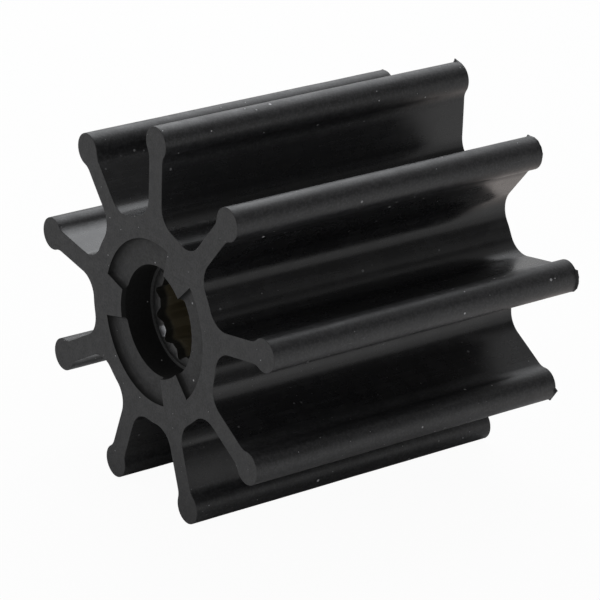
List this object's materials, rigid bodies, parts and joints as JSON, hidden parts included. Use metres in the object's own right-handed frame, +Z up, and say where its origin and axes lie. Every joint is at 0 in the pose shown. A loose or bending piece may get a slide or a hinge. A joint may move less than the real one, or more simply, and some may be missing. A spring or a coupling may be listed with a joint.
{
  "type": "rubber pump impeller",
  "caption": "Flexible-vane pump impeller: moulded rubber hub and straight vanes ending in round beads, with a metal insert whose splined bore slides on a pump shaft.",
  "frame": {"origin": "on the shaft axis, halfway between the two end faces", "axes": "+Y along the shaft axis, with the end face seen in the picture towards -Y; +Z up, with one vane straight up and the part resting on two vanes"},
  "size_m": [0.0946, 0.087, 0.0929],
  "materials": {
    "moulded_rubber": "satin moulded black rubber, matt on the cut end faces",
    "insert_metal": "dull turned and broached bronze"
  },
  "bodies": {
    "root": {"rubber_body": "moulded_rubber", "splined_insert": "insert_metal"}
  },
  "joints": []
}
